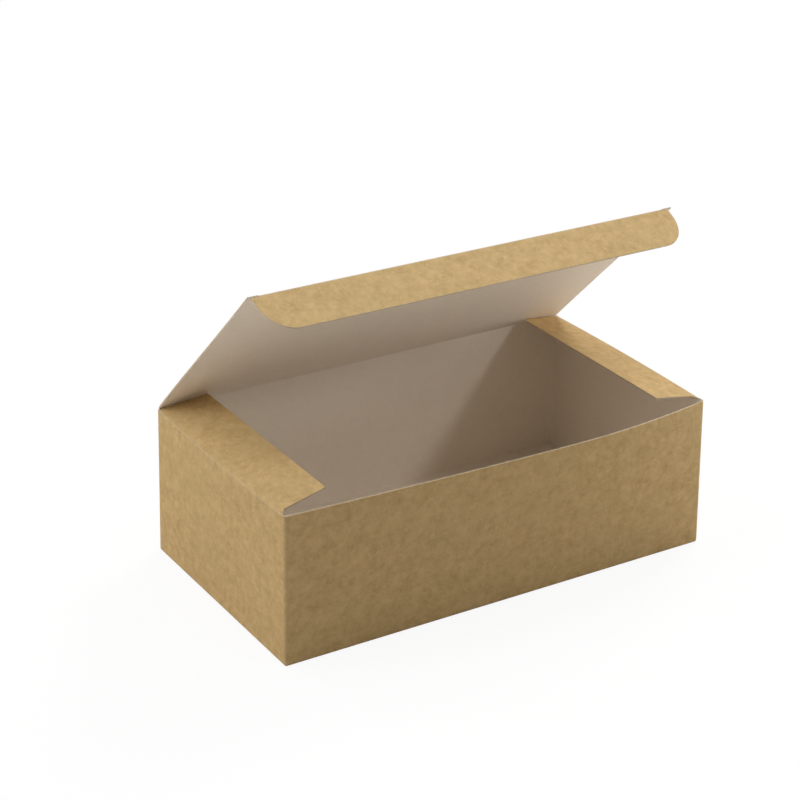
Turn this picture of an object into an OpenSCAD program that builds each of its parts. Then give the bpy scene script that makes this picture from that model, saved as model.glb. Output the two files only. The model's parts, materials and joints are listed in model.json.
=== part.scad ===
// Takeaway box folded from one creased carton blank: four walls, a locking bottom, two dust
// flaps on the end walls, a lid on the back wall and a tuck flap on the lid's front crease.
// The origin is the middle of the underside. X runs along the box, +Y is the hinge side, +Z is up.

/* [Board] */
// Thickness of the carton board
board = 0.45; // [0.35:0.05:0.55]

/* [Walls] */
// Outer length of the mouth
mouth_l = 150; // [130:1:180]
// Outer width of the mouth
mouth_w = 80; // [70:1:100]
// Height of the closed box
height = 50; // [42:1:65]
// How much further out each end wall stands at the bottom
end_lean = 0.4; // [0:0.1:1.5]
// How much further out the front and back walls stand at the bottom
side_lean = 1.1; // [0:0.1:2]
// Outer radius of the upright folds
corner_r = 0.9; // [0.7:0.1:1.5]
// Outward bow of the front wall's rim at its middle
rim_bow = 4.2; // [3.6:0.1:6]
// Share by which the bow grows toward the right-hand end
bow_skew = 0.2; // [0:0.05:0.25]
// Cut edge of the front and back walls below the top of the closed lid
rim_drop = 0.6; // [0.6:0.05:1]

/* [Dust flaps] */
// Fold of the dust flaps below the top of the closed lid
dust_drop = 1.5; // [1.4:0.1:2.5]
// Width of a dust flap from its fold to its free edge
dust_w = 16.5; // [10:0.5:24]
// Angle at which a dust flap rises from its fold
dust_rise = 3; // [0:0.5:3]
// Relief between the end of a dust flap's fold and the corner of the mouth
dust_relief = 2.2; // [2:0.1:4]
// Extra set-back of the free edge at the front
dust_bevel_front = 1.6; // [0:0.1:4]
// Extra set-back of the free edge at the back
dust_bevel_back = 2.4; // [0:0.1:5]

/* [Lid] */
// Angle by which the lid stands open at rest
lid_open = 45.1; // [30:0.1:60]
// Gap between the side of the lid and the end of the box at the hinge
lid_side_gap = 0.4; // [0.2:0.1:1]
// Extra gap at each side of the lid at its front
lid_taper = 0.4; // [0:0.1:1]
// Set-back of the tuck crease from the front of the mouth when the lid is shut
crease_setback = 1.4; // [1.3:0.1:2]
// Length of the slit at each end of the tuck crease
slit_l = 3.5; // [2:0.5:8]
// How far the lid's corners run past the tuck crease
slit_lap = 0.9; // [0.6:0.1:1.2]

/* [Tuck flap] */
// Depth of the tuck flap from its crease to its free edge
tuck_d = 15.2; // [12:0.1:16]
// Radius of the tuck flap's corners
tuck_r = 12; // [10:0.5:12]
// Angle by which the tuck flap is folded down at rest
tuck_fold = 70.1; // [60:0.1:80]

/* [Bottom] */
// Length of the end flaps of the bottom
end_flap_l = 46; // [38:1:55]
// Gap between the free edge of a bottom flap and its neighbour
flap_gap = 1.2; // [0.8:0.1:2]
// Length of the locking tongue at the middle of the bottom
tongue_l = 44; // [30:1:50]
// How far the locking tongue reaches past the middle line
tongue_reach = 9; // [6:0.5:14]
// Width of the glue seam tab inside the left end wall
seam_w = 13; // [8:0.5:20]
// Slant at the top and bottom of the glue seam tab
seam_slant = 3; // [1:0.5:5]

/* [Hidden] */

// Clearance all round the rounded board edge that a crease turns on
crease_gap = 0.13;
// Straight stretches along the bowed front wall and up the walls
front_steps = 32;
wall_steps = 3;
corner_steps = 4;
// Radius of the bottom folds
fold_r = board * 0.7;
// How steeply the bow starts at each end of the rim
bow_power = 4;
// Lengths of an end flap's glued edge and of its other edge, as shares of its whole length
glued_share = 0.82;
short_share = 0.45;
// Where an end flap's free edge starts and stops, as shares of the way to the long walls
free_edge_front = 0.45;
free_edge_back = 0.35;
// How far a long flap's slanted end leans in, as a share of half the base's width
long_flap_slant = 0.5;
// How far the locking tongue's root reaches back under its flap
tongue_root = 2 * tongue_reach;
// Gap between the glue seam tab and the floor, and the same under the dust flap
seam_gap = 1;
// How far the lid's corners at the hinge are cut in and how far along its sides the cut runs
hinge_cut_in = 1;
hinge_cut_along = 2;
$fn = 48;

half_l = mouth_l / 2;
half_w = mouth_w / 2;
rim_z = height - rim_drop;
dust_z = height - dust_drop;
hinge_y = half_w - board / 2;
hinge_z = height - board / 2;
lid_d = hinge_y + half_w - crease_setback;
lid_half = half_l - lid_side_gap;
lid_front_half = lid_half - lid_taper;
crease_half = lid_front_half - slit_l;
dust_half = half_w - dust_relief;
base_half_l = half_l + end_lean;
base_half_w = half_w + side_lean;

// Share of the bow at a place on the rim, from -1 at the left end to 1 at the right end
function bow(w) = (1 - pow(abs(w), bow_power)) * (1 + bow_skew * w);

// Half the length and half the width of the walls' outside at a height
function half_x(z) = half_l + end_lean * (1 - z / height);
function half_y(z) = half_w + side_lean * (1 - z / height);

// Points of an arc about a centre
function arc(cx, cy, r, from, n) =
    [for (i = [0:n]) [cx + r * cos(from + 90 * i / n), cy + r * sin(from + 90 * i / n)]];

// Places along an end wall, as y, with a step at each end of the dust flap's fold
step_y = 0.15;
end_places = [-dust_half - step_y, -dust_half, 0, dust_half, dust_half + step_y];

// The walls' outline at a height, taken in by a distance d, anticlockwise from the front left
function wall_loop(z, d) =
    let (hx = half_x(z), hy = half_y(z), r = corner_r - d, cx = hx - corner_r, cy = hy - corner_r)
    concat(
        [for (i = [1:front_steps - 1])
            let (w = 2 * i / front_steps - 1)
            [w * cx, d - hy - rim_bow * bow(w) * z / height]],
        arc(cx, -cy, r, -90, corner_steps),
        [for (y = end_places) [hx - d, y]],
        arc(cx, cy, r, 0, corner_steps),
        arc(-cx, cy, r, 90, corner_steps),
        [for (y = end_places) [d - hx, -y]],
        arc(-cx, -cy, r, 180, corner_steps)
    );

// Height of the walls' top at a place: the end walls stop under the dust flaps' folds
fold_end_y = dust_half + step_y / 2;
end_wall_x = half_l - 1.5 * board;
function wall_top(p) = abs(p[1]) < fold_end_y && abs(p[0]) > end_wall_x ? dust_z - board : rim_z;

// One ring of points round the walls, a share k of the way up from the bottom fold
function wall_ring(k, d) =
    let (flat = wall_loop(rim_z, d), low = wall_loop(fold_r, d))
    [for (i = [0:len(flat) - 1])
        let (z = fold_r + (wall_top(flat[i]) - fold_r) * k, s = (z - fold_r) / (rim_z - fold_r))
        [low[i][0] + (flat[i][0] - low[i][0]) * s, low[i][1] + (flat[i][1] - low[i][1]) * s, z]];

// The ring at the underside, taken in by the roundness of the bottom folds
function foot_ring(d, z) = [for (p = wall_loop(0, d)) [p[0], p[1], z]];

// Four walls as one tube of board with rounded folds and a bowed front
module walls() {
    fold_steps = 3;
    outer = concat(
        [for (i = [0:fold_steps - 1])
            let (a = 90 * i / fold_steps)
            foot_ring(fold_r * (1 - sin(a)), fold_r * (1 - cos(a)))],
        [for (j = [0:wall_steps]) wall_ring(j / wall_steps, 0)]);
    inner = concat(
        [foot_ring(board, 0)],
        [for (j = [0:wall_steps]) wall_ring(j / wall_steps, board)]);
    rings = concat(outer, [for (j = [len(inner) - 1:-1:0]) inner[j]]);
    n = len(rings[0]);
    m = len(rings);
    points = [for (ring = rings) for (p = ring) p];
    faces = [for (j = [0:m - 1]) for (i = [0:n - 1])
        let (a = j * n + i, b = j * n + (i + 1) % n, c = ((j + 1) % m) * n + (i + 1) % n,
            d = ((j + 1) % m) * n + i)
        each [[a, c, b], [a, d, c]]];
    polyhedron(points, faces, convexity = 6);
}

// Dust flap on the right end wall: a level flap and the rounded fold that carries it
module dust_flap() {
    reach = dust_w - board;
    translate([half_x(dust_z) - board, 0, dust_z - board]) {
        rotate([90, 0, 0])
            cylinder(r = board, h = 2 * dust_half, center = true);
        rotate([0, dust_rise, 0])
            linear_extrude(board)
                polygon([[0, -dust_half], [0, dust_half],
                    [-reach, dust_half - dust_bevel_back],
                    [-reach, dust_bevel_front - dust_half]]);
    }
}

// End flap of the bottom, on the left: its front corner is glued under the front flap
module end_flap() {
    in_y = base_half_w - board - flap_gap;
    fold_x = board / 2 - base_half_l;
    free_x = end_flap_l - base_half_l;
    linear_extrude(board)
        polygon([[fold_x, -in_y], [end_flap_l * glued_share - base_half_l, -in_y],
            [free_x, -in_y * free_edge_front], [free_x, in_y * free_edge_back],
            [end_flap_l * short_share - base_half_l, in_y], [fold_x, in_y]]);
}

// Long flap of the bottom, at the front: it meets the back flap along a slanted middle line
module long_flap() {
    in_x = base_half_l - board - flap_gap;
    edge_y = -flap_gap / 2;
    translate([0, 0, board])
        linear_extrude(board)
            polygon([[-in_x, board / 2 - base_half_w], [in_x, board / 2 - base_half_w],
                [in_x - base_half_w * long_flap_slant, edge_y], [-in_x, edge_y]]);
}

// Locking tongue of the front flap, bent down by one board to pass under the back flap
module tongue() {
    linear_extrude(board)
        difference() {
            polygon([[-tongue_l / 2, -tongue_root], [tongue_l / 2, -tongue_root],
                [tongue_l / 2, tongue_reach], [-tongue_l / 2, tongue_reach]]);
            for (s = [-1, 1])
                translate([s * tongue_l / 2, tongue_reach])
                    rotate(45)
                        square(tongue_reach, center = true);
        }
}

// Glue seam tab, folded from the back wall onto the inside of the left end wall
module seam_tab() {
    low_z = 2 * board + seam_gap;
    high_z = dust_z - board - seam_gap;
    lean = atan(end_lean / height);
    corner_y = half_w - corner_r;
    translate([board - half_x(0), 0, 0])
        rotate([0, lean, 0])
            rotate([90, 0, 90])
                translate([0, 0, -board / 4])
                    linear_extrude(board)
                        polygon([[corner_y, low_z], [corner_y, high_z],
                            [corner_y - seam_w, high_z - seam_slant],
                            [corner_y - seam_w, low_z + seam_slant]]);
}

// The folded box without its lid
module box_body() {
    color("#c09a64") {
        walls();
        dust_flap();
        mirror([1, 0, 0]) dust_flap();
        end_flap();
        rotate(180) end_flap();
        long_flap();
        rotate(180) long_flap();
        tongue();
        seam_tab();
    }
}

// Puts what is drawn flat in the shut lid's middle plane, hinge on the x axis, where it rests
module on_hinge() {
    translate([0, hinge_y, hinge_z])
        rotate([-lid_open, 0, 0])
            children();
}

// Lid panel with the rounded edge it turns on and a corner beyond each slit
module lid() {
    edge = board / 2 + crease_gap;
    hinge_half = lid_half - hinge_cut_in;
    color("#c5a06b")
        on_hinge() {
            rotate([0, 90, 0])
                cylinder(d = board, h = 2 * hinge_half, center = true);
            linear_extrude(board, center = true)
                polygon([[-hinge_half, 0], [hinge_half, 0], [lid_half, -hinge_cut_along],
                    [lid_front_half, -lid_d - slit_lap],
                    [crease_half + crease_gap, -lid_d - slit_lap],
                    [crease_half + crease_gap, edge - lid_d],
                    [-crease_half - crease_gap, edge - lid_d],
                    [-crease_half - crease_gap, -lid_d - slit_lap],
                    [-lid_front_half, -lid_d - slit_lap],
                    [-lid_half, -hinge_cut_along]]);
        }
}

// Tuck flap with rounded corners, its neck between the slits and the edge it turns on
module tuck_flap() {
    shoulder = slit_lap + crease_gap;
    color("#d2b47c")
        on_hinge()
            translate([0, -lid_d, 0])
                rotate([tuck_fold, 0, 0]) {
                    rotate([0, 90, 0])
                        cylinder(d = board, h = 2 * crease_half, center = true);
                    linear_extrude(board, center = true)
                        polygon(concat(
                            [[crease_half, 0], [-crease_half, 0], [-crease_half, -shoulder],
                                [-lid_front_half, -shoulder]],
                            arc(tuck_r - lid_front_half, tuck_r - tuck_d, tuck_r, 180, 12),
                            arc(lid_front_half - tuck_r, tuck_r - tuck_d, tuck_r, 270, 12),
                            [[lid_front_half, -shoulder], [crease_half, -shoulder]]));
                }
}

box_body();
lid();
tuck_flap();
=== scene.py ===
import json
import math

import bpy
from mathutils import Matrix, Vector


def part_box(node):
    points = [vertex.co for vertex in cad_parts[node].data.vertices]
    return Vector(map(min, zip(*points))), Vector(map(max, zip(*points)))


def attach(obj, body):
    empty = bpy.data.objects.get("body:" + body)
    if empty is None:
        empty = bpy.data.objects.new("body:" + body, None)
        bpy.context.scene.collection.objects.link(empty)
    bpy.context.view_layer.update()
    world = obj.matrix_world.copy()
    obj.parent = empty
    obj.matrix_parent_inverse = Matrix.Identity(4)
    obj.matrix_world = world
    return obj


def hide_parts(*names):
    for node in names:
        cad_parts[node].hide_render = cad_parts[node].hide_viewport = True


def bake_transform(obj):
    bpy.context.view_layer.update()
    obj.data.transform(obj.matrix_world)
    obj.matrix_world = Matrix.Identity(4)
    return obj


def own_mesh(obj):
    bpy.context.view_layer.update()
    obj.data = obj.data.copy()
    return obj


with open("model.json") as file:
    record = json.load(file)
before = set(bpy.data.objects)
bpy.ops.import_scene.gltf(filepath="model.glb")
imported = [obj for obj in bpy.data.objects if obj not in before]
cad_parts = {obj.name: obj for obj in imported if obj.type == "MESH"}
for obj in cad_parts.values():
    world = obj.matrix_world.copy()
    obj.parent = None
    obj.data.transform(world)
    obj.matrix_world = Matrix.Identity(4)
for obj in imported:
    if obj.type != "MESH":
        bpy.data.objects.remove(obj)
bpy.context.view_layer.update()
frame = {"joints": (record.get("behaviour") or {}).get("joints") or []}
joints = {joint["name"]: joint for joint in frame["joints"]}
hinge = Vector(joints["lid_crease"]["pos_m"])
tuck_axis = Vector(joints["tuck_crease"]["pos_m"])

# The four walls
# One strip of carton board with a brown kraft face and a white back, creased at the four upright
# corners and glued into a tube. The front wall springs outward, as nothing holds its rim.

board = 0.00045
half_width = hinge.y + board / 2
height = hinge.z + board / 2
end_lean = 0.0004
side_lean = 0.0011
half_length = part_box("box_body")[1].x - end_lean
rim_bow = 0.0047
bow_peak = 0.69
end_bow = 0.0008
corner_radius = 0.0009
bottom_radius = 0.0009
crease_width = 0.0006
rim_height = {-1: height - 0.0011, 1: height - 0.0005}
skirt_height = height - 0.0008
dust_radius = 0.0005
dust_front = {-1: -0.0383, 1: -0.0374}
dust_back = 0.0388
fold_height_front = {-1: height - 0.0011, 1: height - 0.0006}
fold_height_back = {-1: height - 0.0006, 1: height - 0.0006}
dust_tilt_front = {-1: math.radians(13.5), 1: math.radians(11)}
dust_tilt_back = {-1: math.radians(11.5), 1: math.radians(11)}


class Wire:
    """One output of a node; an expression on it adds the Math nodes that work it out."""

    def __init__(self, tree, socket):
        self.tree = tree
        self.socket = socket

    def math(self, operation, *values, clamp=False):
        settings = {"operation": operation, "use_clamp": clamp}
        return self.tree.add("ShaderNodeMath", settings, dict(enumerate(values)))

    def __add__(self, other):
        return self.math("ADD", self, other)

    def __radd__(self, other):
        return self.math("ADD", other, self)

    def __sub__(self, other):
        return self.math("SUBTRACT", self, other)

    def __rsub__(self, other):
        return self.math("SUBTRACT", other, self)

    def __mul__(self, other):
        return self.math("MULTIPLY", self, other)

    def __truediv__(self, other):
        return self.math("DIVIDE", self, other)

    def __pow__(self, other):
        return self.math("POWER", self, other)

    def __neg__(self):
        return self.math("MULTIPLY", self, -1.0)

    def clamped(self):
        return self.math("ADD", self, 0.0, clamp=True)

    def output(self, name):
        """Another output of the node that this one comes from."""
        return Wire(self.tree, self.socket.node.outputs[name])


class Tree:
    """Adds nodes to a node tree, each by its type, its settings and what goes into its sockets."""

    def __init__(self, tree):
        self.tree = tree

    def add(self, kind, settings=None, sockets=None, output=0):
        made = self.tree.nodes.new(kind)
        for name, value in (settings or {}).items():
            setattr(made, name, value)
        for place, value in (sockets or {}).items():
            for each in value if isinstance(value, list) else [value]:
                if isinstance(each, Wire):
                    self.tree.links.new(each.socket, made.inputs[place])
                else:
                    made.inputs[place].default_value = each
        return Wire(self, made.outputs[output]) if made.outputs else made

    def feed(self, wire, node, place):
        """Joins an output to an input of a node that the tree came with."""
        self.tree.links.new(wire.socket, node.inputs[place])

    def mix(self, low, high, share):
        """A colour between two, by the share of the second."""
        return self.add("ShaderNodeMix", {"data_type": "RGBA"}, {0: share, 6: low, 7: high}, 2)


def board_finish(name, light, dark, drift_tint, cloud_depth, fibre_depth, crease_tint, roughness):
    """Paper face: cloudy stock, long fibres lying every way, flecks and rubbed creases."""
    material = bpy.data.materials.new(name)
    material.use_nodes = True
    tree = Tree(material.node_tree)
    shader = material.node_tree.nodes["Principled BSDF"]
    place = tree.add("ShaderNodeUVMap", {"uv_map": "blank"})

    def noise(scale, detail, turn=0.0, stretch=(1.0, 1.0, 1.0), offset=0.0):
        turned = tree.add(
            "ShaderNodeMapping",
            {"vector_type": "TEXTURE"},
            {0: place, 1: (offset, offset, 0.0), 2: (0.0, 0.0, turn), 3: stretch},
        )
        return tree.add("ShaderNodeTexNoise", {}, {0: turned, "Scale": scale, "Detail": detail})

    def peaks(field, above, sharpness):
        return ((field - above) * sharpness).clamped()

    def toned(colour, gain):
        return tuple(min(1.0, channel * gain) for channel in colour[:3]) + (1.0,)

    clouds = noise(190.0, 3.0, offset=0.3) * 0.5 + noise(430.0, 3.0, offset=0.7) * 0.5
    drift = peaks(noise(38.0, 3.0, offset=0.1), above=0.42, sharpness=3.2)
    specks = peaks(noise(640.0, 1.0, offset=0.4), above=0.60, sharpness=6.0)
    fibres = None
    for count, turn in enumerate((0.25, 1.05, 1.9, 2.75)):
        strand = noise(1700.0, 1.0, turn, (1.0, 8.0, 1.0), 0.11 * (count + 1))
        strand = peaks(strand, above=0.56, sharpness=9.0)
        fibres = strand if fibres is None else fibres.math("MAXIMUM", fibres, strand)
    flecks = peaks(noise(2300.0, 1.0, offset=0.9), above=0.68, sharpness=14.0)
    grain = noise(4200.0, 2.0, offset=0.5)
    crease = tree.add("ShaderNodeAttribute", {"attribute_name": "crease"}, output=2)
    worn = (crease * (0.55 + noise(900.0, 2.0) * 0.9)).clamped()

    share = ((clouds - 0.5) * cloud_depth + 0.5 + (grain - 0.5) * 0.14).clamped()
    colour = tree.mix(dark, light, share)
    colour = tree.mix(colour, drift_tint, drift * 0.45)
    colour = tree.mix(colour, toned(light, 1.10), specks * cloud_depth * 0.15)
    colour = tree.mix(colour, toned(light, 1.16), fibres * fibre_depth)
    colour = tree.mix(colour, toned(dark, 0.55), flecks * fibre_depth * 0.9)
    colour = tree.mix(colour, crease_tint, worn * 0.6)
    tree.feed(colour, shader, "Base Color")
    rough = (grain - 0.5) * 0.12 + roughness - worn * 0.05
    tree.feed(rough, shader, "Roughness")
    relief = fibres * 0.5 + grain * 0.5 + clouds * 0.8
    bump = tree.add("ShaderNodeBump", {}, {"Strength": 0.22, "Distance": 0.00004, "Height": relief})
    tree.feed(bump, shader, "Normal")
    shader.inputs["Specular IOR Level"].default_value = 0.3
    return material


kraft = board_finish(
    "kraft_face",
    light=(0.675, 0.472, 0.220, 1.0),
    dark=(0.517, 0.343, 0.147, 1.0),
    drift_tint=(0.566, 0.410, 0.185, 1.0),
    cloud_depth=3.7,
    fibre_depth=0.24,
    crease_tint=(0.600, 0.490, 0.350, 1.0),
    roughness=0.84,
)
white = board_finish(
    "white_back",
    light=(0.955, 0.862, 0.752, 1.0),
    dark=(0.920, 0.818, 0.698, 1.0),
    drift_tint=(0.935, 0.832, 0.718, 1.0),
    cloud_depth=2.4,
    fibre_depth=0.08,
    crease_tint=(0.880, 0.800, 0.710, 1.0),
    roughness=0.70,
)
cut_edge = board_finish(
    "cut_edge",
    light=(0.700, 0.580, 0.430, 1.0),
    dark=(0.580, 0.460, 0.320, 1.0),
    drift_tint=(0.640, 0.520, 0.370, 1.0),
    cloud_depth=1.6,
    fibre_depth=0.30,
    crease_tint=(0.700, 0.560, 0.400, 1.0),
    roughness=0.92,
)


def carton_board_tree():
    """Springs the kraft side of a panel to its place and gives it the board's thickness."""
    group = bpy.data.node_groups.new("carton_board", "GeometryNodeTree")
    faces = group.interface
    faces.new_socket("Geometry", in_out="OUTPUT", socket_type="NodeSocketGeometry")
    faces.new_socket("Geometry", in_out="INPUT", socket_type="NodeSocketGeometry")
    sizes = ["Board", "Spring", "Half length", "Half width", "Height", "End lean", "Side lean"]
    sizes += ["Rim bow", "Bow peak", "End bow"]
    for name in sizes:
        faces.new_socket(name, in_out="INPUT", socket_type="NodeSocketFloat")
    for name in ("Kraft face", "White back", "Cut edge"):
        faces.new_socket(name, in_out="INPUT", socket_type="NodeSocketMaterial")
    tree = Tree(group)
    given = tree.add("NodeGroupInput")
    names = [socket.name for socket in given.socket.node.outputs if socket.name]
    value = {name: given.output(name) for name in names}
    spot = tree.add("ShaderNodeSeparateXYZ", {}, {0: tree.add("GeometryNodeInputPosition")})
    x, y, z = (spot.output(axis) for axis in "XYZ")
    up = (z / value["Height"]).clamped()
    down = 1.0 - up
    along = x / value["Half length"]
    across = y / value["Half width"]

    # The rim's bow rises to its peak and falls off faster beyond it
    rise_power = 1.45
    fall_power = 1.9
    front_depth = 0.003
    front_sharpness = 500.0
    run = (along * 0.5 + 0.5).clamped()
    rise = 1.0 - (1.0 - (run / value["Bow peak"]).clamped()) ** rise_power
    fall = 1.0 - ((run - value["Bow peak"]) / (1.0 - value["Bow peak"])).clamped() ** fall_power
    at_front = ((0.0 - y - value["Half width"] + front_depth) * front_sharpness).clamped()
    bow = value["Rim bow"] * rise * fall * at_front
    # The mouth stands a little out of square: its front left corner is further out
    askew_middle = 0.00025
    askew_change = 0.00055
    askew = (askew_middle - along * askew_change) * (1.0 - across) * 0.5
    end_run = 0.017
    near_end = ((x.math("ABSOLUTE", x) - value["Half length"] + end_run) / end_run).clamped()
    ends = value["End bow"] * near_end * (1.0 - across * across)
    sideways = x.math("SIGN", x) * ends * up + along * value["End lean"] * down
    forward = across * value["Side lean"] * down - (bow + askew) * up
    push = tree.add(
        "ShaderNodeCombineXYZ",
        {},
        {0: sideways * value["Spring"], 1: forward * value["Spring"]},
    )
    sprung = tree.add("GeometryNodeSetPosition", {}, {"Geometry": value["Geometry"], "Offset": push})

    weld_distance = 1e-7
    grown = tree.add(
        "GeometryNodeExtrudeMesh",
        {"mode": "FACES"},
        {"Mesh": sprung, "Offset Scale": -value["Board"], "Individual": False},
    )
    inner = grown.output("Top")
    rim = grown.output("Side")
    back = tree.add("GeometryNodeFlipFaces", {}, {"Mesh": grown})
    both = tree.add("GeometryNodeJoinGeometry", {}, {0: [sprung, back]})
    both = tree.add("GeometryNodeMergeByDistance", {}, {"Geometry": both, "Distance": weld_distance})
    both = tree.add("GeometryNodeRealizeInstances", {}, {0: both})
    both = tree.add("GeometryNodeSetMaterial", {}, {"Geometry": both, "Material": value["Kraft face"]})
    for chosen, name in ((inner, "White back"), (rim, "Cut edge")):
        sockets = {"Geometry": both, "Selection": chosen, "Material": value[name]}
        both = tree.add("GeometryNodeSetMaterial", {}, sockets)
    tree.add("NodeGroupOutput", {}, {0: both})
    return group


carton_board = carton_board_tree()


def board_piece(name, points, blank, creases, faces, sprung=True):
    """A panel from its kraft side; its places on the flat blank set how the paper's pattern lies."""
    used = sorted({corner for face in faces for corner in face})
    number = {corner: count for count, corner in enumerate(used)}
    mesh = bpy.data.meshes.new(name)
    mesh.from_pydata(
        [points[corner] for corner in used],
        [],
        [[number[corner] for corner in face] for face in faces],
    )
    layer = mesh.uv_layers.new(name="blank")
    for loop, corner in zip(layer.data, (corner for face in faces for corner in face)):
        loop.uv = blank[corner]
    worn = mesh.attributes.new("crease", "FLOAT", "POINT")
    worn.data.foreach_set("value", [creases[corner] for corner in used])
    piece = bpy.data.objects.new(name, mesh)
    bpy.context.scene.collection.objects.link(piece)
    modifier = piece.modifiers.new("carton_board", "NODES")
    modifier.node_group = carton_board
    settings = {
        "Board": board,
        "Spring": 1.0 if sprung else 0.0,
        "Half length": half_length,
        "Half width": half_width,
        "Height": height,
        "End lean": end_lean,
        "Side lean": side_lean,
        "Rim bow": rim_bow,
        "Bow peak": bow_peak,
        "End bow": end_bow,
        "Kraft face": kraft,
        "White back": white,
        "Cut edge": cut_edge,
    }
    for item in carton_board.interface.items_tree:
        if item.in_out == "INPUT" and item.name in settings:
            modifier[item.identifier] = settings[item.name]
    piece.update_tag()
    graph = bpy.context.evaluated_depsgraph_get()
    plain = bpy.data.meshes.new_from_object(piece.evaluated_get(graph))
    piece.modifiers.clear()
    piece.data = plain
    plain.name = name
    plain.polygons.foreach_set("use_smooth", [True] * len(plain.polygons))
    sharp_angle = math.radians(38)
    plain.set_sharp_from_angle(angle=sharp_angle)
    return piece


def grid_faces(rows, columns, kept=lambda row, column: True, closed=False):
    """Quads of a grid of points that is numbered row by row, with the kept cells only."""
    faces = []
    for row in range(rows - 1):
        for column in range(columns if closed else columns - 1):
            if kept(row, column):
                low = row * columns
                step = (column + 1) % columns
                faces.append([low + column, low + step, low + columns + step, low + columns + column])
    return faces


def spread(*stretches):
    """Places along a line, from stretches of (from, to, steps) that follow each other."""
    places = [stretches[0][0]]
    for low, high, steps in stretches:
        places += [low + (high - low) * count / steps for count in range(1, steps + 1)]
    return places


def from_front(low, high, side, y):
    """A value that runs from the front end of a dust flap's fold to its back end."""
    share = (y - dust_front[side]) / (dust_back - dust_front[side])
    return low[side] + (high[side] - low[side]) * min(max(share, 0.0), 1.0)


def wall_top(x, y, where, face_y):
    """How high the board stands: the box is a little racked, lowest at its front left corner."""
    side = 1 if x > 0 else -1
    fold = from_front(fold_height_front, fold_height_back, side, y)
    if where == "front":
        return rim_height[-1] + (rim_height[1] - rim_height[-1]) * (x / half_length * 0.5 + 0.5)
    if where == "back":
        return skirt_height
    if where == "corner":
        return fold + (rim_height[side] - fold) * face_y**2 if y < 0 else fold
    return fold - dust_radius if where == "fold" else fold


def corner_arc(centre_x, centre_y, start):
    """Stations round one upright corner of the tube, creased along its middle."""
    steps = 5
    places = []
    for count in range(steps + 1):
        turn = start + math.pi / 2 * count / steps
        face = (math.cos(turn), math.sin(turn))
        spot = (centre_x + corner_radius * face[0], centre_y + corner_radius * face[1])
        places.append(spot + face + ("corner", 1.0 if 1 < count < steps - 1 else 0.0))
    return places


def wall_stations():
    """Places round the mouth: x, y, the way the wall faces, the kind of place and its crease."""
    end_x = half_length - corner_radius
    side_y = half_width - corner_radius
    plain_x = end_x - crease_width

    def end_wall(side):
        low = dust_front[side]
        high = dust_back
        cut = 0.0002
        stations = []
        for y in spread((low - cut, low, 1), (low, high, 28), (high, high + cut, 1)):
            where = "fold" if low <= y <= high else "stub"
            stations.append((side * half_length, y, side, 0.0, where, 0.0))
        return stations

    front = [(x, -half_width, 0.0, -1.0, "front", 0.0) for x in spread((-plain_x, plain_x, 56))]
    back = [(-x, half_width, 0.0, 1.0, "back", 0.0) for x in spread((-plain_x, plain_x, 24))]
    return (
        end_wall(-1)[::-1]
        + corner_arc(-end_x, -side_y, math.pi)
        + front
        + corner_arc(end_x, -side_y, -math.pi / 2)
        + end_wall(1)
        + corner_arc(end_x, side_y, 0.0)
        + back
        + corner_arc(-end_x, side_y, math.pi / 2)
    )


def wall_points():
    """Rows of points from the edge turned in under the box, up the walls and over the dust folds."""
    stations = wall_stations()
    around = [0.0]
    for here, after in zip(stations, stations[1:] + stations[:1]):
        around.append(around[-1] + math.hypot(after[0] - here[0], after[1] - here[1]))
    wall_shares = [0.0, 0.015] + [count / 10 for count in range(1, 10)] + [0.985, 1.0]
    rows = [("foot", None)]
    rows += [("foot", degrees) for degrees in (0, 22, 45, 68)]
    rows += [("wall", share) for share in wall_shares]
    rows += [("lip", count / 5) for count in range(1, 6)]
    under_floor = 0.001
    points, blank, creases = [], [], []
    for kind, share in rows:
        for place, (x, y, face_x, face_y, where, crease) in enumerate(stations):
            face = Vector((face_x, face_y, 0.0))
            top = wall_top(x, y, where, face_y)
            if kind == "foot":
                turn = 0.0 if share is None else math.radians(share)
                inset = bottom_radius * (1 - math.sin(turn)) + (under_floor if share is None else 0.0)
                spot = Vector((x, y, bottom_radius * (1 - math.cos(turn)))) - face * inset
                worn = 0.5 if share == 45 else 0.0
            elif kind == "wall":
                spot = Vector((x, y, bottom_radius + (top - bottom_radius) * share))
                worn = 0.3 * crease
            else:
                side = 1 if x > 0 else -1
                tilt = from_front(dust_tilt_front, dust_tilt_back, side, y)
                turn = (math.pi / 2 - tilt) * share
                spot = Vector((x, y, top)) - face * dust_radius * (1 - math.cos(turn))
                spot.z += dust_radius * math.sin(turn)
                worn = 1.0 if 0.3 < share < 0.7 else 0.0
            points.append(spot)
            blank.append((around[place], spot.z))
            creases.append(worn)
    first_lip = [kind for kind, share in rows].index("lip")

    def kept(row, column):
        pair = {stations[column][4], stations[(column + 1) % len(stations)][4]}
        if row == 0:
            return "corner" not in pair
        return row < first_lip - 1 or pair == {"fold"}

    return points, blank, creases, grid_faces(len(rows), len(stations), kept, closed=True)


walls = board_piece("carton_walls", *wall_points())
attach(walls, "box")
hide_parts("box_body")

# The bottom flaps and the glue tab
# Four flaps of the same blank lock under the box: the end flaps lie outermost, each glued by one
# corner to a long flap, and a tongue of the front flap slips under the back one. A tab joins the tube.

end_reach = 0.0460
flap_gap = 0.0012
tongue_reach = 0.0090
tongue_half = 0.0220
tab_width = 0.0130
tab_gap = 0.001
tab_taper = 0.003
# Corners of an end flap, as shares of its reach and of its half width
glued_corner = 0.82
tip_front = 0.45
tip_back = 0.35
free_corner = 0.45


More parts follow.
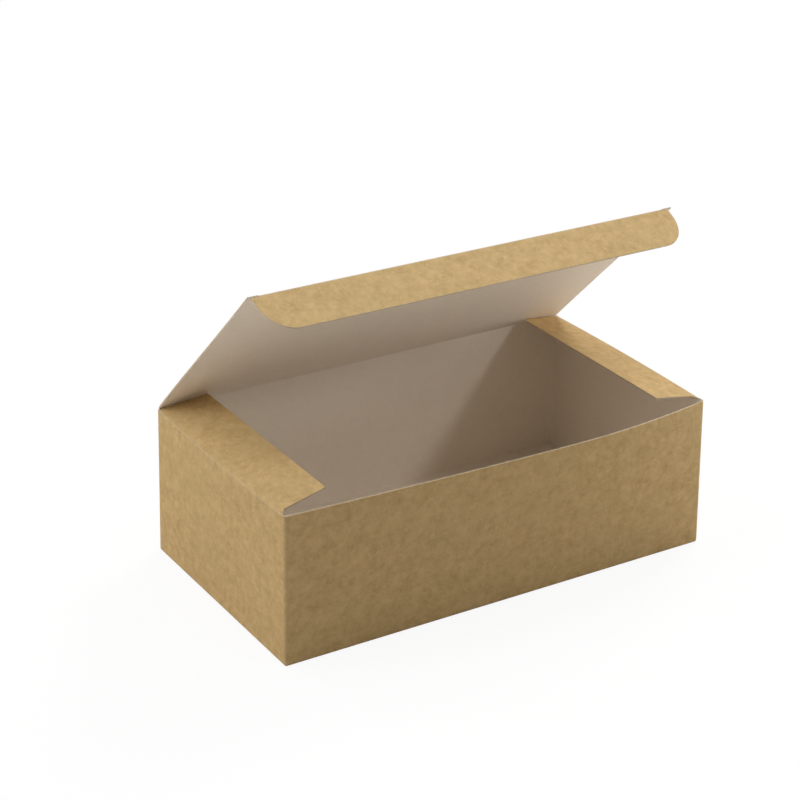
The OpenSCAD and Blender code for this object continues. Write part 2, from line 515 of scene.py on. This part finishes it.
def flat_flap(name, outline, low_z, mirrored=False):
    """A flap of the bottom with its kraft side down, drawn from above, anticlockwise."""
    turn = -1.0 if mirrored else 1.0
    points = [Vector((turn * x, turn * y, low_z)) for x, y in outline]
    face = list(range(len(points)))[::-1]
    blank = [(x + 0.2 * turn, y - 0.2) for x, y in outline]
    flap = board_piece(name, points, blank, [0.0] * len(points), [face], sprung=False)
    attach(flap, "box")


base_x = half_length + end_lean
base_y = half_width + side_lean
in_y = base_y - board - flap_gap
in_x = base_x - board - flap_gap
fold_x = base_x - bottom_radius
end_outline = [
    (-fold_x, -in_y),
    (end_reach * glued_corner - base_x, -in_y),
    (end_reach - base_x, -in_y * tip_front),
    (end_reach - base_x, in_y * tip_back),
    (end_reach * free_corner - base_x, in_y),
    (-fold_x, in_y),
]
long_outline = [
    (-in_x, board / 2 - base_y),
    (in_x, board / 2 - base_y),
    (in_x - base_y / 2, 0.0),
    (-in_x, 0.0),
]
chamfer = tongue_reach * 0.7
tongue_outline = [
    (-tongue_half, -2 * tongue_reach),
    (tongue_half, -2 * tongue_reach),
    (tongue_half, tongue_reach - chamfer),
    (tongue_half - chamfer, tongue_reach),
    (chamfer - tongue_half, tongue_reach),
    (-tongue_half, tongue_reach - chamfer),
]
for label, mirrored in (("left", False), ("right", True)):
    flat_flap("bottom_end_flap_" + label, end_outline, 0.0, mirrored)
for label, mirrored in (("front", False), ("back", True)):
    flat_flap("bottom_long_flap_" + label, long_outline, board, mirrored)
flat_flap("bottom_tongue", tongue_outline, 0.0)

tab_low = 2 * board + tab_gap
tab_high = skirt_height - board - tab_gap
tab_x = board - half_length
tab_y = half_width - corner_radius
tab_points = [
    Vector((tab_x, tab_y, tab_low)),
    Vector((tab_x, tab_y - tab_width, tab_low + tab_taper)),
    Vector((tab_x, tab_y - tab_width, tab_high - tab_taper)),
    Vector((tab_x, tab_y, tab_high)),
]
tab = board_piece(
    "glue_tab",
    tab_points,
    [(point.y + 0.6, point.z) for point in tab_points],
    [0.0] * len(tab_points),
    [[0, 1, 2, 3]],
)
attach(tab, "box")

# The dust flaps
# One on the top of each end wall, folded inward with the kraft side up. The board's spring holds
# them a little above level; the lid presses them flat as it shuts.

dust_width = 0.0163
dust_notch = 0.0016
notch_depth = {-1: 0.0021, 1: 0.0018}
front_slant = {-1: -0.0002, 1: 0.0001}
back_flare = 0.0005
back_slant = 0.0027


def dust_flap(name, side):
    """The flap beyond its fold, from the fold's end to the free edge."""
    start = dust_radius * (math.pi / 2 - dust_tilt_front[side])
    beyond = dust_width - start - dust_notch
    reaches = [0.0, crease_width, dust_notch]
    reaches += [dust_notch + beyond * count / 8 for count in range(1, 9)]
    columns = 40
    points, blank, creases = [], [], []
    for reach in reaches:
        cut = min(reach / dust_notch, 1.0)
        share = max(reach - dust_notch, 0.0) / beyond
        front = dust_front[side] + notch_depth[side] * cut - front_slant[side] * share
        back = dust_back + back_flare * cut - back_slant * share
        for column in range(columns + 1):
            y = front + (back - front) * column / columns
            fold_y = dust_front[side] + (dust_back - dust_front[side]) * column / columns
            tilt = from_front(dust_tilt_front, dust_tilt_back, side, fold_y)
            top = from_front(fold_height_front, fold_height_back, side, fold_y)
            inward_x = half_length - dust_radius * (1 - math.sin(tilt)) - reach * math.cos(tilt)
            up_z = top - dust_radius * (1 - math.cos(tilt)) + reach * math.sin(tilt)
            points.append(Vector((side * inward_x, y, up_z)))
            blank.append((side * 0.5 + y, height + start + reach))
            creases.append(0.0)
    faces = grid_faces(len(reaches), columns + 1)
    if side < 0:
        faces = [face[::-1] for face in faces]
    flap = board_piece(name, points, blank, creases, faces)
    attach(flap, "box")
    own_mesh(flap)


dust_flap("dust_flap_left", -1)
dust_flap("dust_flap_right", 1)

# The lid
# The blank's next panel, on the crease along the top of the back wall. It stands about half open
# with its white back down, and a slit at each end of its front crease leaves a square corner.

lid_length = (tuck_axis - hinge).length
lid_run = (tuck_axis - hinge).normalized()
lid_face = Vector((1, 0, 0)).cross(lid_run) * -1
fold_radius = 0.0006
lid_inset = 0.0004
lid_taper = 0.0004
lid_half = half_length - lid_inset
lid_front_half = lid_half - lid_taper
lid_shift = 0.0017
slit = 0.0036
slit_lap = 0.0003
slit_cells = 2
crease_overlap = 0.0010
hinge_strip = 0.002
hinge_step = 0.0002


def shift_at(run):
    """How far the lid leans toward the right-hand end at a distance from its hinge."""
    share = min(max(run / lid_length, 0.0), 1.0)
    return lid_shift * share * share * (3 - 2 * share)


def fold_arc(axis, before, after, steps=6):
    """Kraft side of a rounded fold about an axis, between two panels' face directions."""
    closing = before.angle(after)
    middle = (before + after).normalized()
    centre = axis + middle * ((board / 2 - fold_radius) / math.cos(closing / 2))
    turned = []
    for count in range(steps + 1):
        share = count / steps
        face = before * math.sin(closing * (1 - share)) + after * math.sin(closing * share)
        turned.append(centre + face / math.sin(closing) * fold_radius)
    return turned


def lid_panel():
    """The lid from the top of the back wall to its front crease, with a corner beyond each slit."""
    wall_face = Vector((0, 1, 0))
    bend = fold_arc(hinge, wall_face, lid_face)
    rows = [(Vector((0, half_width, skirt_height)), 0.0, 0.0)]
    rows += [(spot, 1.0, (spot - hinge).dot(lid_run)) for spot in bend]
    start = rows[-1][2]
    end = lid_length - crease_overlap
    runs = [start + crease_width, hinge_strip]
    runs += [hinge_strip + (end - crease_width - hinge_strip) * count / 24 for count in range(1, 25)]
    runs += [end, lid_length + slit_lap]
    for run in runs:
        rows.append((hinge + lid_run * run + lid_face * board / 2, 0.0, run))
    inner = (lid_front_half - slit) / lid_front_half
    shares = spread((-1.0, -inner, slit_cells), (-inner, inner, 50), (inner, 1.0, slit_cells))
    points, blank, creases = [], [], []
    for spot, crease, run in rows:
        near = min(max(run / hinge_strip, 0.0), 1.0)
        taper = (lid_half - lid_front_half) * max(run, 0.0) / lid_length
        half = lid_half - hinge_step * (1 - near) - taper
        for share in shares:
            x = share * half + shift_at(run)
            points.append(Vector((x, spot.y, spot.z)))
            blank.append((1.0 - x, height + run))
            creases.append(crease)
    columns = len(shares)

    def kept(row, column):
        beside_slit = column < slit_cells or column >= columns - 1 - slit_cells
        return row < len(rows) - 2 or beside_slit

    faces = [face[::-1] for face in grid_faces(len(rows), columns, kept)]
    return board_piece("lid_panel", points, blank, creases, faces, sprung=False)


lid = lid_panel()
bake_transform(lid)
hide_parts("lid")

# The tuck flap
# The blank's last panel, on the lid's front crease between the two slits. Its ends are rounded so
# that they slip behind the front wall; it has been folded once and hangs forward and down.

tuck_depth = 0.0143
tuck_half = 0.0728
tuck_shift = 0.00158
tuck_end_across = 0.0090
tuck_end_deep = 0.0116
shoulder_gap = 0.0002
shoulder_depth = 0.0020
tuck_fold = math.radians(70.1)
tuck_run = Matrix.Rotation(tuck_fold, 3, "X") @ lid_run
tuck_face = Matrix.Rotation(tuck_fold, 3, "X") @ lid_face


def tuck_panel():
    """The tuck flap from the lid's front crease to its free edge, wider beyond the slits."""
    bend = fold_arc(tuck_axis, lid_face, tuck_face)
    lid_end = hinge + lid_run * (lid_length - crease_overlap) + lid_face * board / 2
    rows = [(lid_end, 0.0, -crease_overlap)]
    rows += [(spot, 1.0, (spot - tuck_axis).dot(tuck_run)) for spot in bend]
    start = rows[-1][2]
    straight = tuck_depth - tuck_end_deep
    depths = [slit_lap + shoulder_gap, start + crease_width, shoulder_depth, straight]
    depths += [straight + tuck_end_deep * math.sin(math.pi / 2 * count / 14) for count in range(1, 15)]
    neck_row = len(rows)
    for depth in depths:
        rows.append((tuck_axis + tuck_run * depth + tuck_face * board / 2, 0.0, depth))
    neck_low = -(lid_front_half - slit) + lid_shift
    neck_high = lid_front_half - slit + lid_shift
    low_share = (neck_low - tuck_shift) / tuck_half
    high_share = (neck_high - tuck_shift) / tuck_half
    ends = [(-1.0, low_share, slit_cells), (high_share, 1.0, slit_cells)]
    shares = spread(ends[0], (low_share, high_share, 50), ends[1])
    points, blank, creases = [], [], []
    for spot, crease, depth in rows:
        round_in = max(depth - straight, 0.0) / tuck_end_deep
        half = tuck_half - tuck_end_across * (1 - math.sqrt(max(1 - round_in * round_in, 0.0)))
        for share in shares:
            x = share * half + tuck_shift
            points.append(Vector((x, spot.y, spot.z)))
            blank.append((1.0 - x, height + lid_length + depth))
            creases.append(crease)
    columns = len(shares)

    def kept(row, column):
        between_slits = slit_cells <= column < columns - 1 - slit_cells
        return row >= neck_row or between_slits

    faces = [face[::-1] for face in grid_faces(len(rows), columns, kept)]
    return board_piece("tuck_panel", points, blank, creases, faces, sprung=False)


tuck = tuck_panel()
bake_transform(tuck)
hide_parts("tuck_flap")

# The camera
# It looks at the box from the front left and a little above, with a long lens, as the photo does.

view_azimuth = math.radians(-31.963)
view_elevation = math.radians(24.916)
view_roll = math.radians(0.829)
view_distance = 0.70303
view_aim = Vector((0, 0, 0.025))
view_slide = (-0.009927, 0.023696)
away = Vector((
    math.sin(view_azimuth) * math.cos(view_elevation),
    -math.cos(view_azimuth) * math.cos(view_elevation),
    math.sin(view_elevation),
))
level = (-away).cross(Vector((0, 0, 1))).normalized()
upright = level.cross(-away)
right = level * math.cos(view_roll) + upright * math.sin(view_roll)
upward = upright * math.cos(view_roll) - level * math.sin(view_roll)
camera_data = bpy.data.cameras.new("camera")
camera_data.sensor_width = 36.0
camera_data.lens = 100.76
camera_data.clip_end = 20.0
camera = bpy.data.objects.new("camera", camera_data)
bpy.context.scene.collection.objects.link(camera)
place = view_aim + away * view_distance + right * view_slide[0] + upward * view_slide[1]
turn = Matrix((right, upward, away)).transposed()
camera.matrix_world = Matrix.Translation(place) @ turn.to_4x4()
bpy.context.scene.camera = camera

# The studio
# A white table against a white backdrop. Soft square lamps stand above, behind and to the left; a
# smaller one at the front right throws the shade inside the box, and a low card lights its right end.

lamp_distance = 1.4
lamp_aim = Vector((0, 0, 0.03))


def soft_lamp(name, azimuth, elevation, distance, size, power):
    """A square lamp that faces the box, placed by its direction from it."""
    data = bpy.data.lights.new(name, "AREA")
    data.shape = "SQUARE"
    data.size = size
    data.energy = power
    lamp = bpy.data.objects.new(name, data)
    bpy.context.scene.collection.objects.link(lamp)
    side = math.radians(azimuth)
    lift = math.radians(elevation)
    direction = Vector((
        math.sin(side) * math.cos(lift),
        -math.cos(side) * math.cos(lift),
        math.sin(lift),
    ))
    lamp.location = direction * distance + lamp_aim
    lamp.rotation_euler = direction.to_track_quat("Z", "Y").to_euler()


soft_lamp("front_top_lamp", 0.0, 75.0, lamp_distance, 0.6, 3.9)
soft_lamp("back_top_lamp", 180.0, 68.0, lamp_distance, 0.8, 1.6)
soft_lamp("back_right_lamp", 120.0, 50.0, lamp_distance, 0.6, 8.8)
soft_lamp("back_left_lamp", -150.0, 40.0, lamp_distance, 0.6, 3.6)
soft_lamp("left_lamp", -103.0, 42.0, lamp_distance, 0.7, 6.0)
soft_lamp("low_left_lamp", -103.0, 15.0, lamp_distance, 0.7, 3.0)
soft_lamp("front_right_lamp", 33.0, 34.0, lamp_distance, 0.22, 2.45)
soft_lamp("low_right_card", 75.0, 8.0, 0.30, 0.16, 0.27)

world = bpy.data.worlds.new("studio")
bpy.context.scene.world = world
world.use_nodes = True
backdrop = Tree(world.node_tree)
background = world.node_tree.nodes["Background"]
rays = backdrop.add("ShaderNodeLightPath")
seen = rays.math("MAXIMUM", rays.output("Is Camera Ray"), rays.output("Is Glossy Ray"))
backdrop.feed(seen, background, "Strength")
background.inputs["Color"].default_value = (1.0, 1.0, 1.0, 1.0)

floor_half = 3.0
floor_mesh = bpy.data.meshes.new("table_top")
floor_corners = ((-1, -1), (1, -1), (1, 1), (-1, 1))
floor_points = [(x * floor_half, y * floor_half, 0) for x, y in floor_corners]
floor_mesh.from_pydata(floor_points, [], [(0, 1, 2, 3)])
floor = bpy.data.objects.new("table_top", floor_mesh)
bpy.context.scene.collection.objects.link(floor)
table = bpy.data.materials.new("white_table")
table.use_nodes = True
table_tree = Tree(table.node_tree)
table_shader = table.node_tree.nodes["Principled BSDF"]
table_shader.inputs["Roughness"].default_value = 0.9
table_shader.inputs["Specular IOR Level"].default_value = 0.0
glow = table_tree.add("ShaderNodeEmission", {}, {"Color": (1.0, 1.0, 1.0, 1.0), "Strength": 1.13})
table_seen = table_tree.add("ShaderNodeLightPath").output("Is Camera Ray")
bounce = table_tree.mix((0.66, 0.635, 0.600, 1.0), (0.50, 0.50, 0.50, 1.0), table_seen)
table_tree.feed(bounce, table_shader, "Base Color")
lit = Wire(table_tree, table_shader.outputs[0])
table_mix = table_tree.add("ShaderNodeMixShader", {}, {0: table_seen * 0.8, 1: lit, 2: glow})
table_tree.feed(table_mix, table.node_tree.nodes["Material Output"], "Surface")
floor_mesh.materials.append(table)

bpy.context.scene.view_settings.view_transform = "Standard"
